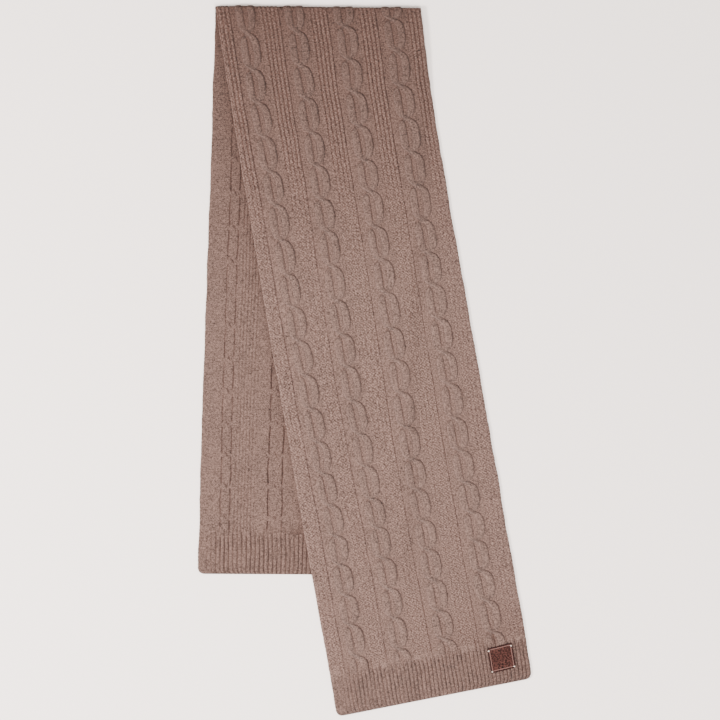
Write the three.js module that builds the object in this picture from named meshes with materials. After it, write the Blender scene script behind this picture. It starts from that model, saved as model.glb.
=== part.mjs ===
// A cable-knit scarf with ribbed ends, folded over once at the top and laid flat.
// Millimetres. +X to the right across the scarf, +Y towards the fold, +Z up from the surface it lies on.
// The origin is at the middle of the footprint, on that surface. The tables count from within a few
// millimetres of it.

import * as THREE from 'three';

const { lerp, smoothstep, clamp, degToRad } = THREE.MathUtils;

// The cloth
const clothWidth = 285;
const wall = 3.2;
const seamGap = 0.3;
const layerGap = 0.3;
const hemLength = 57;
const edgeRound = [
  { inset: 0, share: 0.5 },
  { inset: 1.4, share: 0.86 },
  { inset: 4.5, share: 1 },
];

// The rope cables, raised on the right side of the cloth
const cables = [
  { name: 'first', width: 36.2 },
  { name: 'second', width: 36.8 },
  { name: 'third', width: 39 },
  { name: 'fourth', width: 39.2 },
];
const cableRise = 2.4;
const cableGroove = { half: 2.2, depth: 0.7 };
const strandLanes = { left: 0.355, right: 0.805, half: 0.15 };
const frontCrossingPlan = {
  first: 30.2,
  count: 20,
  upper: 48.3,
  nearHem: 43.2,
  tightensFrom: 10,
  tightensTo: 15,
};
const rowsPerCrossing = [-0.22, -0.07, 0.03, 0.13, 0.3];

// The backs of the cables, sunk in the wrong side of the cloth
const backGroove = { width: 3.4, depth: 1.1 };
const backGroovePairs = [
  { middle: 36.2, apart: 14.2 },
  { middle: 106.9, apart: 21 },
];
const backCrossingPlan = {
  first: 24.2,
  count: 16,
  upper: 48.4,
  nearHem: 44.3,
  tightensFrom: 4,
  tightensTo: 14,
};
const rowsPerBackCrossing = [
  { at: -0.14, depthShare: 1 },
  { at: 0, depthShare: 0.15 },
  { at: 0.14, depthShare: 1 },
];

// The ribbed hems
const frontRibCount = 51;
const backRibCount = 46;
const ribDepth = 1.1;
const ribTop = 3;
const ribColumns = [
  { at: 0, share: 0 },
  { at: 0.28, share: 1 },
  { at: 0.72, share: 1 },
];

// The bend at the fold, and how the upper stretch comes down past the edges of the lower one
const bendDepth = 4;
const foldLength = 12;
const slope = { from: 4, length: 22 };

// Left and right edges of the upper stretch, by the distance down its middle from the fold
const frontRows = [
  { down: 0, leftX: -213.7, leftY: 506.5, rightX: 78.2, rightY: 503.7 },
  { down: 28.6, leftX: -207.1, leftY: 465.2, rightX: 80.2, rightY: 490.3 },
  { down: 118.5, leftX: -192.8, leftY: 372.7, rightX: 90.9, rightY: 405 },
  { down: 259, leftX: -168.6, leftY: 230.3, rightX: 112.1, rightY: 269.7 },
  { down: 429.2, leftX: -140.1, leftY: 59.4, rightX: 141.3, rightY: 103.9 },
  { down: 543.5, leftX: -120.2, leftY: -54.5, rightX: 160.9, rightY: -7.5 },
  { down: 715.7, leftX: -90.3, leftY: -225.4, rightX: 190.7, rightY: -175.9 },
  { down: 837.4, leftX: -68.9, leftY: -346.5, rightX: 210.8, rightY: -294.6 },
  { down: 942.8, leftX: -49, leftY: -453.3, rightX: 229.1, rightY: -398.1 },
  { down: 996.8, leftX: -40.4, leftY: -506, rightX: 237.1, rightY: -451.1 },
];

// Left and right edges of the lower stretch, by the distance down from the fold
const backRows = [
  { down: 0, leftX: -213.7, leftY: 506.5, rightX: 78.2, rightY: 503.7 },
  { down: 276, leftX: -222.3, leftY: 230, rightX: 64.6, rightY: 228 },
  { down: 561, leftX: -232, leftY: -54.6, rightX: 53.5, rightY: -57 },
  { down: 807.4, leftX: -239, leftY: -302.4, rightX: 47.1, rightY: -304 },
];

// Where the left edge of each cable runs on the upper stretch, measured across the cloth from its left edge
const cableRows = [
  { down: 0, first: 18.8, second: 86.7, third: 154.2, fourth: 221.5 },
  { down: 249, first: 19.3, second: 86.3, third: 153.8, fourth: 221.8 },
  { down: 498, first: 20.2, second: 81.4, third: 150.6, fourth: 218.8 },
  { down: 623, first: 21.5, second: 81.4, third: 147.4, fourth: 217 },
  { down: 748, first: 23.3, second: 84, third: 147.1, fourth: 217 },
  { down: 996.8, first: 21.5, second: 84.6, third: 150.3, fourth: 217.9 },
];

// The sewn patch and its corner studs
const patch = {
  width: 36.2,
  height: 35.6,
  thick: 1.7,
  corner: 2,
  bevel: 0.4,
  x: 193.9,
  y: -422,
  turn: 13.8,
  lean: 0.075, // it is sewn on a little askew
};
const stud = { radius: 1.5, rise: 0.9, insetSide: 1.8, insetTop: 3.6, insetBottom: 2.2, sides: 10, steps: 3 };

const materials = {
  knit: new THREE.MeshStandardMaterial({ color: 0x9c837a, roughness: 0.95, metalness: 0 }),
  knitInside: new THREE.MeshStandardMaterial({ color: 0x927970, roughness: 0.96, metalness: 0 }),
  leather: new THREE.MeshStandardMaterial({ color: 0x7a443a, roughness: 0.5, metalness: 0 }),
  metal: new THREE.MeshStandardMaterial({ color: 0xd8c3b0, roughness: 0.3, metalness: 1 }),
};

const root = new THREE.Group();

// Smooth readings of the tables
function smoothTable(rows) {
  const names = Object.keys(rows[0]).filter((name) => name !== 'down');
  const values = rows.flatMap((row) => names.map((name) => row[name]));
  const curve = new THREE.CubicInterpolant(rows.map((row) => row.down), values, names.length);
  return (down) => {
    const reading = curve.evaluate(down);
    return Object.fromEntries(names.map((name, column) => [name, reading[column]]));
  };
}

const frontEdges = smoothTable(frontRows);
const backEdges = smoothTable(backRows);
const cableEdges = smoothTable(cableRows);
const frontEnd = frontRows.at(-1).down;
const backEnd = backRows.at(-1).down;

function pointAcross(edges, across, z) {
  const share = across / clothWidth;
  return new THREE.Vector3(lerp(edges.leftX, edges.rightX, share), lerp(edges.leftY, edges.rightY, share), z);
}

// The distance down a stretch at which one of its edges has a given y
function downAtY(edgesAt, name, y, end) {
  let above = 0;
  let below = end;
  while (below - above > 0.01) {
    const middle = (above + below) / 2;
    if (edgesAt(middle)[name] > y) above = middle;
    else below = middle;
  }
  return above;
}

// The height of what carries the upper stretch: the lower stretch, a slope past its edges, then the floor
const backRightX = (y) => backEdges(downAtY(backEdges, 'rightY', y, backEnd)).rightX;
const backHemY = Math.min(backRows.at(-1).leftY, backRows.at(-1).rightY);
const layerLift = wall + layerGap;

function carriedHeight(x, y) {
  const pastSide = Math.max(x - backRightX(y), 0);
  const pastHem = Math.max(backHemY - y, 0);
  const away = Math.hypot(pastSide, pastHem);
  return layerLift * (1 - clamp((away - slope.from) / slope.length, 0, 1));
}

// A closed body is collected as triangles stitched between neighbouring lines of points. Lines of as many
// points are paired point by point, and others by how far along the line each point lies.
function stitch(triangles, lineA, lineB) {
  const paired = lineA.length === lineB.length;
  const progress = (line) => line.map((point, index) =>
    (paired ? index : point.distanceTo(line[0]) / line.at(-1).distanceTo(line[0])));
  const alongA = progress(lineA);
  const alongB = progress(lineB);
  let a = 0;
  let b = 0;
  while (a < lineA.length - 1 || b < lineB.length - 1) {
    const stepA = b === lineB.length - 1 || (a < lineA.length - 1 && alongA[a + 1] < alongB[b + 1]);
    if (stepA) {
      triangles.push(lineA[a], lineB[b], lineA[a + 1]);
      a += 1;
    } else {
      triangles.push(lineA[a], lineB[b], lineB[b + 1]);
      b += 1;
    }
  }
}

function geometryOf(triangles) {
  const geometry = new THREE.BufferGeometry().setFromPoints(triangles);
  geometry.computeVertexNormals();
  return geometry;
}

// A flat-lying piece between its upper rows and its plain underside, each row from left to right. Below each
// point of an upper end row lies one of the underside, so that the end faces are plain strips.
function clothBody(upper, underside, restHeight = () => 0) {
  const triangles = [];
  const below = (row) => row.map(({ x, y }) => new THREE.Vector3(x, y, restHeight(x, y)));
  const lower = [below(upper[0]), ...underside, below(upper.at(-1))];
  const column = (rows, at) => rows.map((row) => row.at(at));
  for (let row = 1; row < upper.length; row += 1) stitch(triangles, upper[row - 1], upper[row]);
  for (let row = 1; row < lower.length; row += 1) stitch(triangles, lower[row], lower[row - 1]);
  stitch(triangles, lower[0], upper[0]);
  stitch(triangles, upper.at(-1), lower.at(-1));
  stitch(triangles, column(upper, 0), column(lower, 0));
  stitch(triangles, column(lower, -1), column(upper, -1));
  return geometryOf(triangles);
}

function addPiece(name, geometry, material, parent = root) {
  const mesh = new THREE.Mesh(geometry, material);
  mesh.name = name;
  parent.add(mesh);
  return mesh;
}

// The crossings of the cables, which come closer together towards a hem
function crossingsOf({ first, count, upper, nearHem, tightensFrom, tightensTo }) {
  const crossings = [];
  let down = first;
  for (let index = 0; index < count; index += 1) {
    const spacing = lerp(upper, nearHem, smoothstep(index, tightensFrom, tightensTo));
    crossings.push({ down, spacing });
    down += spacing;
  }
  return crossings;
}

const frontCrossings = crossingsOf(frontCrossingPlan);
const backCrossings = crossingsOf(backCrossingPlan);

// Rope cables: the left strand crosses over to the right at each crossing
function crossingPhase(down) {
  const nearest = frontCrossings.reduce((best, crossing) =>
    (Math.abs(crossing.down - down) < Math.abs(best.down - down) ? crossing : best));
  return clamp((down - nearest.down) / nearest.spacing, -0.5, 0.5);
}

function cableColumns(left, width, phase) {
  const closeness = Math.exp(-((phase / 0.15) ** 2));
  const over = {
    middle: lerp(strandLanes.left, strandLanes.right, smoothstep(phase, -0.2, 0.25)),
    rise: cableRise * (1 + 0.15 * closeness),
  };
  const under = {
    middle: lerp(strandLanes.right, strandLanes.left, smoothstep(phase, -0.2, 0.2)),
    rise: cableRise * (1 - 0.5 * closeness),
  };
  const [near, far] = over.middle < under.middle ? [over, under] : [under, over];
  const half = strandLanes.half * (1 - 0.25 * closeness);
  const shoulder = 0.45 * half;
  const valley = (near.middle + far.middle) / 2;
  const apart = clamp((far.middle - near.middle) / (strandLanes.right - strandLanes.left), 0, 1);
  const narrow = 0.01;
  const columns = [
    { at: near.middle - half, rise: 0 },
    { at: near.middle - shoulder, rise: near.rise * 0.9 },
    { at: Math.min(near.middle + shoulder, valley - narrow), rise: near.rise * 0.95 },
    { at: valley, rise: cableRise * lerp(0.9, 0.3, apart) },
    { at: Math.max(far.middle - shoulder, valley + narrow), rise: far.rise * 0.95 },
    { at: far.middle + shoulder, rise: far.rise * 0.9 },
    { at: far.middle + half, rise: 0 },
  ].map(({ at, rise }) => ({ across: left + at * width, rise }));
  const groove = [
    { across: left - cableGroove.half, rise: 0 },
    { across: left, rise: -cableGroove.depth },
    { across: left + cableGroove.half, rise: 0 },
  ];
  return [...groove, ...columns];
}

// One line of points over the right side of the cloth, as distances across it and heights over its inside
function edgeColumns(thickness) {
  return edgeRound.map(({ inset, share }) => ({ across: inset, height: thickness * share }));
}

function mirrorColumns(columns) {
  return columns.map((column) => ({ ...column, across: clothWidth - column.across })).reverse();
}

function rightSideColumns(down, phase) {
  const edges = cableEdges(down);
  const edge = edgeColumns(wall);
  const raised = cables
    .flatMap(({ name, width }) => cableColumns(edges[name], width, phase))
    .map(({ across, rise }) => ({ across, height: wall + rise }));
  return [...edge, ...raised, ...mirrorColumns(edge)];
}

// Upper stretch
const frontStart = foldLength + seamGap;
const frontPanelEnd = frontEnd - hemLength - seamGap;

function frontRow(down) {
  const edges = frontEdges(down);
  return rightSideColumns(down, crossingPhase(down)).map(({ across, height }) => {
    const point = pointAcross(edges, across, 0);
    point.z = carriedHeight(point.x, point.y) + height;
    return point;
  });
}

function levelRow(y) {
  const leftEnd = frontEdges(downAtY(frontEdges, 'leftY', y, frontEnd)).leftX;
  const rightEnd = frontEdges(downAtY(frontEdges, 'rightY', y, frontEnd)).rightX;
  return undersideRow(new THREE.Vector3(leftEnd, y, 0), new THREE.Vector3(rightEnd, y, 0));
}

// The underside has a point where the slope starts and one where it ends
function undersideRow(left, right) {
  const width = right.x - left.x;
  const narrow = 0.01;
  const slopeStart = (backRightX((left.y + right.y) / 2) + slope.from - left.x) / width;
  const startShare = clamp(slopeStart, narrow, 1 - 2 * narrow);
  const endShare = clamp(slopeStart + slope.length / width, startShare + narrow, 1 - narrow);
  return [0, startShare, endShare, 1].map((share) => {
    const point = left.clone().lerp(right, share);
    point.z = carriedHeight(point.x, point.y);
    return point;
  });
}

function tiltedUnderside(down) {
  const edges = frontEdges(down);
  return undersideRow(pointAcross(edges, 0, 0), pointAcross(edges, clothWidth, 0));
}

const frontPanelDowns = [
  frontStart,
  ...frontCrossings.flatMap(({ down, spacing }) => rowsPerCrossing.map((share) => down + share * spacing)),
  frontPanelEnd,
].filter((down) => down >= frontStart && down <= frontPanelEnd);
const levelSpacing = 75;
const levels = [backHemY - slope.from, backHemY - slope.from - slope.length];
for (let y = backHemY + levelSpacing; y < frontEdges(frontStart).leftY; y += levelSpacing) levels.unshift(y);
const endStrip = 2;
const frontUnderside = [
  tiltedUnderside(frontStart + endStrip),
  ...levels.map(levelRow),
  tiltedUnderside(frontPanelEnd - endStrip),
];
const frontBody = clothBody(frontPanelDowns.map(frontRow), frontUnderside, carriedHeight);
addPiece('front_panel', frontBody, materials.knit);

// Lower stretch, wrong side up: two sunk lines behind each cable that shows, broken at each crossing
const backStart = foldLength + seamGap;
const backPanelEnd = backEnd - hemLength - seamGap;

function wrongSideColumns(depthShare) {
  const half = backGroove.width / 2;
  const grooves = backGroovePairs.flatMap(({ middle, apart }) => [middle - apart / 2, middle + apart / 2]);
  const cables = grooves.flatMap((across) => [
    { across: across - half, height: wall },
    { across, height: wall - backGroove.depth * depthShare },
    { across: across + half, height: wall },
  ]);
  const edge = edgeColumns(wall);
  return [...edge, ...cables, ...mirrorColumns(edge)];
}

function backRow({ down, depthShare }) {
  const edges = backEdges(down);
  return wrongSideColumns(depthShare).map(({ across, height }) => pointAcross(edges, across, height));
}

const backPanelRows = [
  { down: backStart, depthShare: 1 },
  ...backCrossings.flatMap(({ down, spacing }) =>
    rowsPerBackCrossing.map(({ at, depthShare }) => ({ down: down + at * spacing, depthShare }))),
  { down: backPanelEnd, depthShare: 1 },
].filter(({ down }) => down >= backStart && down <= backPanelEnd);
const flatRow = (edgesAt, down) => [0, clothWidth].map((across) => pointAcross(edgesAt(down), across, 0));
const backUndersideDowns = [0.25, 0.5, 0.75].map((share) => lerp(backStart, backPanelEnd, share));
const backUnderside = backUndersideDowns.map((down) => flatRow(backEdges, down));
addPiece('back_panel', clothBody(backPanelRows.map(backRow), backUnderside), materials.knitInside);

// Ribbed hems
function hemBody(edgesAt, end, ribCount) {
  const start = end - hemLength;
  const columns = [];
  for (let rib = 0; rib < ribCount; rib += 1) {
    for (const { at, share } of ribColumns) columns.push({ at: (rib + at) / ribCount, share });
  }
  columns.push({ at: 1, share: 0 });
  const rows = [
    { down: start, height: ribTop - 0.4 * ribDepth, ribbed: 0.2, tuck: 0 },
    { down: start + 3, height: ribTop, ribbed: 1, tuck: 0 },
    { down: end - 3.5, height: ribTop, ribbed: 1, tuck: 0 },
    { down: end, height: ribTop * 0.55, ribbed: 0.3, tuck: 3 },
  ];
  const upper = rows.map(({ down, height, ribbed, tuck }) => columns.map(({ at, share }) => {
    const across = lerp(tuck, clothWidth - tuck, at);
    return pointAcross(edgesAt(down), across, height - ribDepth * ribbed * (1 - share));
  }));
  const underside = rows.slice(1, -1).map(({ down, tuck }) =>
    [tuck, clothWidth - tuck].map((across) => pointAcross(edgesAt(down), across, 0)));
  return clothBody(upper, underside);
}

addPiece('front_rib', hemBody(frontEdges, frontEnd, frontRibCount), materials.knit);
addPiece('back_rib', hemBody(backEdges, backEnd, backRibCount), materials.knitInside);

// The fold: the cables run over the bend and fade out where the cloth turns under
function foldBody() {
  const halfHeight = (layerLift + wall) / 2;
  const startPhase = 0.5;
  const columns = rightSideColumns(0, startPhase);
  const turns = [90, 62, 34, 6, -22, -50, -90];
  const frontSeam = frontEdges(foldLength);
  const backSeam = backEdges(foldLength);
  const foldLine = frontEdges(0);
  const reliefOf = (column, fade) => (column.height - wall) * fade;
  const upperSeam = columns.map((column) => pointAcross(frontSeam, column.across, layerLift + column.height));
  const lowerSeam = columns.map((column) => pointAcross(backSeam, column.across, 0));
  const around = turns.map((degrees) => {
    const turn = degToRad(degrees);
    const fade = smoothstep(degrees, -75, 10);
    return columns.map((column) => {
      const relief = reliefOf(column, fade);
      const point = pointAcross(foldLine, column.across, 0);
      point.y += (bendDepth + relief) * Math.cos(turn) - bendDepth;
      point.z = halfHeight + (halfHeight + relief) * Math.sin(turn);
      return point;
    });
  });
  const outer = [upperSeam, ...around, lowerSeam];
  const innerLine = (edges, backwards, z) => [0, clothWidth].map((across) => {
    const point = pointAcross(edges, across, z);
    point.y -= backwards;
    return point;
  });
  const inner = [
    columns.map((column) => pointAcross(frontSeam, column.across, layerLift)),
    innerLine(foldLine, bendDepth + 0.4, layerLift),
    innerLine(foldLine, bendDepth - 0.4, halfHeight),
    innerLine(foldLine, bendDepth + 0.4, wall),
    columns.map((column) => pointAcross(backSeam, column.across, wall)),
  ];
  return { outer, inner };
}

function foldGeometry() {
  const { outer, inner } = foldBody();
  const triangles = [];
  for (let row = 1; row < outer.length; row += 1) stitch(triangles, outer[row], outer[row - 1]);
  for (let row = 1; row < inner.length; row += 1) stitch(triangles, inner[row - 1], inner[row]);
  stitch(triangles, outer[0], inner[0]);
  stitch(triangles, inner.at(-1), outer.at(-1));
  const edgeOf = (rows, at) => rows.map((row) => row.at(at));
  for (const [at, flip] of [[0, false], [-1, true]]) {
    const rim = edgeOf(outer, at);
    const core = edgeOf(inner, at);
    for (let step = 0; step < rim.length - 1; step += 1) {
      const from = Math.min(Math.round((step / (rim.length - 1)) * (core.length - 1)), core.length - 1);
      const to = Math.min(Math.round(((step + 1) / (rim.length - 1)) * (core.length - 1)), core.length - 1);
      const faces = [[core[from], rim[step], rim[step + 1]]];
      if (to !== from) faces.push([core[from], rim[step + 1], core[to]]);
      for (const [a, b, c] of faces) triangles.push(a, flip ? c : b, flip ? b : c);
    }
  }
  return geometryOf(triangles);
}

addPiece('fold', foldGeometry(), materials.knit);

// The leather patch on the front hem, and a stud at each of its corners
function roundedRectangle(width, height, corner) {
  const shape = new THREE.Shape();
  const right = width / 2 - corner;
  const top = height / 2 - corner;
  shape.absarc(right, top, corner, 0, Math.PI / 2);
  shape.absarc(-right, top, corner, Math.PI / 2, Math.PI);
  shape.absarc(-right, -top, corner, Math.PI, 1.5 * Math.PI);
  shape.absarc(right, -top, corner, 1.5 * Math.PI, 2 * Math.PI);
  return shape;
}

const patchGroup = new THREE.Group();
patchGroup.position.set(patch.x, patch.y, ribTop + seamGap);
patchGroup.rotation.z = degToRad(patch.turn);
root.add(patchGroup);

const patchGeometry = new THREE.ExtrudeGeometry(
  roundedRectangle(patch.width - 2 * patch.bevel, patch.height - 2 * patch.bevel, patch.corner - patch.bevel),
  {
    depth: patch.thick - 2 * patch.bevel,
    bevelThickness: patch.bevel,
    bevelSize: patch.bevel,
    bevelSegments: 1,
    curveSegments: 4,
  },
);
patchGeometry.translate(0, 0, patch.bevel);
patchGeometry.applyMatrix4(new THREE.Matrix4().makeShear(0, 0, patch.lean, 0, 0, 0));
addPiece('leather_patch', patchGeometry, materials.leather, patchGroup);

const studProfile = [new THREE.Vector2(0, 0), new THREE.Vector2(stud.radius, 0)];
for (let step = 1; step <= stud.steps; step += 1) {
  const turn = (step / stud.steps) * (Math.PI / 2);
  studProfile.push(new THREE.Vector2(stud.radius * Math.cos(turn), stud.rise * Math.sin(turn)));
}
const studGeometry = new THREE.LatheGeometry(studProfile, stud.sides);
studGeometry.rotateX(Math.PI / 2);
const studPlaces = [[-1, 1], [1, 1], [1, -1], [-1, -1]];
studPlaces.forEach(([sideX, sideY], index) => {
  const mesh = addPiece(`patch_corner_${index + 1}`, studGeometry, materials.metal, patchGroup);
  mesh.position.y = sideY * (patch.height / 2 - (sideY > 0 ? stud.insetTop : stud.insetBottom));
  mesh.position.x = sideX * (patch.width / 2 - stud.insetSide) + patch.lean * mesh.position.y;
  mesh.position.z = patch.thick + seamGap;
});

// The origin goes to the middle of the whole footprint
const footprint = new THREE.Box3().setFromObject(root).getCenter(new THREE.Vector3());
root.position.set(-footprint.x, -footprint.y, 0);

export default root;
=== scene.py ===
import math

import bpy
import numpy as np
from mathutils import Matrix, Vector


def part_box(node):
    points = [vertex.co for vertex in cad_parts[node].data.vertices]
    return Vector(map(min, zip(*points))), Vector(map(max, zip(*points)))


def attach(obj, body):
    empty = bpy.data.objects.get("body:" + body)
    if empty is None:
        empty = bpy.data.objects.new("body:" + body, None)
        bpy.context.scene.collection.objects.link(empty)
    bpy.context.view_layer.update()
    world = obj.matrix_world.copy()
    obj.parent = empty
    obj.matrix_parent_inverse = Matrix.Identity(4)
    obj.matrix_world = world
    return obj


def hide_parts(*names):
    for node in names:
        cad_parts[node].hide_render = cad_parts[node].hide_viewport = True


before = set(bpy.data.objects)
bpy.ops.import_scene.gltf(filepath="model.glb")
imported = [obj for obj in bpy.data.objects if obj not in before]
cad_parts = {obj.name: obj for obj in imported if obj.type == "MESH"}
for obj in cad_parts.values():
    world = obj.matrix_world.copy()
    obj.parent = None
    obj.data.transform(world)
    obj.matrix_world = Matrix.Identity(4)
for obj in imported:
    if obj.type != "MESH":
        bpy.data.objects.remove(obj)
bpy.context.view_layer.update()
bpy.ops.object.select_all(action="DESELECT")

# The script thinks in millimetres and turns them into metres where a mesh is made.
mm = 0.001

# ---- the cloth and where it lies ----
cloth = {
    "width": 285.0,
    "wall": 3.2,
    "layerGap": 0.3,
    "hem": 57.0,
    "edgeRound": 3.5,
    "edgeShare": 0.5,  # of the wall's height is left at the very edge
    "undercut": 0.6,
    "cornerRound": 9.0,
    "slopeFrom": 4.0,  # the upper stretch comes down past the lower one's edges
    "slopeLength": 22.0,
    "bend": 4.0,  # how far the fold rounds out
    "foldRun": 12.0,  # from the fold line to its seams with the two stretches
}
layerLift = cloth["wall"] + cloth["layerGap"]

# Left and right edges of the two stretches, by the distance down from the fold
frontPath = {
    "down": [0, 28.6, 118.5, 259, 429.2, 543.5, 715.7, 837.4, 942.8, 996.8],
    "leftX": [-213.7, -207.1, -192.8, -168.6, -140.1, -120.2, -90.3, -68.9, -49, -40.4],
    "leftY": [506.5, 465.2, 372.7, 230.3, 59.4, -54.5, -225.4, -346.5, -453.3, -506],
    "rightX": [78.2, 80.2, 90.9, 112.1, 141.3, 160.9, 190.7, 210.8, 229.1, 237.1],
    "rightY": [503.7, 490.3, 405, 269.7, 103.9, -7.5, -175.9, -294.6, -398.1, -451.1],
}
backPath = {
    "down": [0, 276, 561, 807.4],
    "leftX": [-213.7, -222.3, -232, -239],
    "leftY": [506.5, 230, -54.6, -302.4],
    "rightX": [78.2, 64.6, 53.5, 47.1],
    "rightY": [503.7, 228, -57, -304],
}
frontEnd = frontPath["down"][-1]
backEnd = backPath["down"][-1]
backHemY = min(backPath["leftY"][-1], backPath["rightY"][-1])

patch = {
    "x": 193.9,
    "y": -422.0,
    "turn": 13.8,
    "lean": 0.075,  # sewn on a little askew
    "width": 36.2,
    "height": 35.6,
    "thick": 1.7,
    "corner": 2.0,
    "seat": 3.3,  # its underside, over the floor
}
patchLow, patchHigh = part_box("leather_patch")
shift = [(patchLow[i] + patchHigh[i]) / 2 / mm - patch["xy"[i]] for i in (0, 1)]


def smoothReading(table, at):
    # the soft curve through a table's rows that the solids are drawn by; the first column is what it is read by
    knots, *columns = (np.array(column, float) for column in table.values())
    last = len(knots) - 1
    right = np.clip(np.searchsorted(knots, at, side="right"), 1, last)
    left = right - 1
    start, end = knots[left], knots[right]
    before = np.where(left > 0, knots[left - 1], end)
    after = np.where(right < last, knots[np.minimum(right + 1, last)], start)
    pullBefore = (end - start) / 2 / (start - before)
    pullAfter = (end - start) / 2 / (after - end)
    p = (at - start) / (end - start)
    readings = {}
    for name, column in zip(list(table)[1:], columns):
        a, b = column[left], column[right]
        x = np.where(left > 0, column[left - 1], b)
        y = np.where(right < last, column[np.minimum(right + 1, last)], a)
        readings[name] = (
            x * pullBefore * (-(p**3) + 2 * p**2 - p)
            + a * ((1 + pullBefore) * p**3 - (1.5 + 2 * pullBefore) * p**2 + (pullBefore - 0.5) * p + 1)
            + b * (-(1 + pullAfter) * p**3 + (1.5 + pullAfter) * p**2 + 0.5 * p)
            + y * pullAfter * (p**3 - p**2)
        )
    return readings


def ease(value, low, high):
    t = np.clip((value - low) / (high - low), 0, 1)
    return t * t * (3 - 2 * t)


def line(distance, half):
    return np.exp(-((distance / half) ** 2))


def softNoise(x, y, pitchX, pitchY, seed):
    lattice = np.random.default_rng(seed).uniform(-1, 1, (61, 61))
    i, j = np.floor(x / pitchX).astype(int), np.floor(y / pitchY).astype(int)
    u, v = x / pitchX - i, y / pitchY - j
    u, v = u * u * (3 - 2 * u), v * v * (3 - 2 * v)
    low = lattice[i % 61, j % 61] * (1 - u) + lattice[(i + 1) % 61, j % 61] * u
    high = lattice[i % 61, (j + 1) % 61] * (1 - u) + lattice[(i + 1) % 61, (j + 1) % 61] * u
    return low * (1 - v) + high * v


backEdgeDown = np.linspace(0, backEnd, 200)
backEdge = smoothReading(backPath, backEdgeDown)
frontEdge = smoothReading(frontPath, np.linspace(0, frontEnd, 200))


def carriedHeight(x, y):
    edgeX = np.interp(-y, -backEdge["rightY"], backEdge["rightX"])
    away = np.hypot(np.maximum(x - edgeX, 0), np.maximum(backHemY - y, 0))
    return layerLift * (1 - ease(away, cloth["slopeFrom"], cloth["slopeFrom"] + cloth["slopeLength"]))


# ---- right side of the knitting: rope cables with moss stitch between them ----
stitch = {"wale": 2.55, "row": 2.7, "rowNearHem": 2.4}
cable = {
    "rise": 1.45,
    "overRise": 0.15,
    "underSink": 0.5,
    "channel": 0.4,  # height between the two strands, as a share of the rise
    "grooveHalf": 0.75,
    "grooveDepth": 0.6,
    "sideHalf": 0.85,
    "middleHalf": 0.7,
    # the Dark entries are painted shade: along the strands' edges, the middle and top lines, the ground between strands
    # and the groove
    "sideDark": 0.48,
    "middleDark": 0.62,
    "topDark": 0.4,
    "grooveDark": 0.55,
    "seamDepth": 0.35,
    "groundDark": 0.27,
}
cablePath = {
    "down": [0, 249, 498, 623, 748, 996.8],
    "first": [18.8, 19.3, 20.2, 21.5, 23.3, 21.5],
    "second": [86.7, 86.3, 81.4, 81.4, 84.0, 84.6],
    "third": [154.2, 153.8, 150.6, 147.4, 147.1, 150.3],
    "fourth": [221.5, 221.8, 218.8, 217.0, 217.0, 217.9],
}
cables = {
    "name": ["first", "second", "third", "fourth"],
    "width": [36.2, 36.8, 39.0, 39.2],
    "firstShift": [-1.5, 3.4, 0.8, -3.4],  # its crossings near the fold, against the others
    "groove": [1.0, 0.9, 0.85, 0.8],
}
# The edges of the two strands over one repeat, as shares of the cable's width, by the way from a crossing.
# The strand that crosses over comes from the left; inner is the line where it tucks the other one under.
strandPath = {
    "phase": [-0.5, -0.3, -0.15, -0.05, 0.02, 0.07, 0.12, 0.2, 0.3, 0.5],
    "overLeft": [0.22, 0.22, 0.25, 0.34, 0.45, 0.53, 0.58, 0.62, 0.65, 0.66],
    "overRight": [0.49, 0.49, 0.5, 0.56, 0.67, 0.77, 0.84, 0.9, 0.94, 0.95],
    "underLeft": [0.66, 0.65, 0.62, 0.55, 0.45, 0.38, 0.31, 0.25, 0.22, 0.22],
    "underRight": [0.95, 0.94, 0.88, 0.79, 0.66, 0.55, 0.47, 0.48, 0.49, 0.49],
    "inner": [0.505, 0.505, 0.51, 0.45, 0.34, 0.39, 0.46, 0.493, 0.505, 0.505],
}
frontCrossings = {"first": 30.2, "count": 20, "upper": 48.3, "nearHem": 43.2, "tightensFrom": 10, "tightensTo": 15}
moss = {"column": 5.7, "rise": 0.6, "lineDark": 1.5, "plainNearFold": 5.5, "plainNearHem": 3.0}
overShade = {"amount": 0.34, "reach": 11.0}
cornerShade = {"amount": 0.17, "from": 850.0, "to": 950.0}  # towards the corner with the patch
foldShade = {"amount": 0.47, "reach": 410.0, "edge": 0.16, "edgeReach": 14.0}  # darker the nearer it is to the fold


def crossingDowns(plan):
    spots = [plan["first"]]
    for index in range(plan["count"] - 1):
        t = float(ease(index, plan["tightensFrom"], plan["tightensTo"]))
        spots.append(spots[-1] + plan["upper"] * (1 - t) + plan["nearHem"] * t)
    return np.array(spots)


def phaseBetween(spots, down):
    spots = np.concatenate([[2 * spots[0] - spots[1]], spots, [2 * spots[-1] - spots[-2]]])
    index = np.clip(np.searchsorted(spots, down, side="right") - 1, 0, len(spots) - 2)
    part = (down - spots[index]) / (spots[index + 1] - spots[index])
    return np.where(part < 0.5, part, part - 1), index


def strandBump(share, left, right):
    # rounds up gently from its left edge and drops steeply at its right one
    middle, half = (left + right) / 2, np.maximum((right - left) / 2, 0.02)
    s = (share - middle) / half
    gentle = (1 - np.clip(-s, 0, 1) ** 2.2) ** 0.75
    steep = (1 - np.clip(s, 0, 1) ** 6) ** 0.8
    return np.where(s < 0, gentle, steep), s


rowDown = np.linspace(-20, 1020, 400)
rowCount = np.cumsum((rowDown[1] - rowDown[0]) / (stitch["row"] + (stitch["rowNearHem"] - stitch["row"]) * ease(rowDown, 560, 760)))


def rowsAt(down):
    return np.interp(down, rowDown, rowCount)


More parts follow.
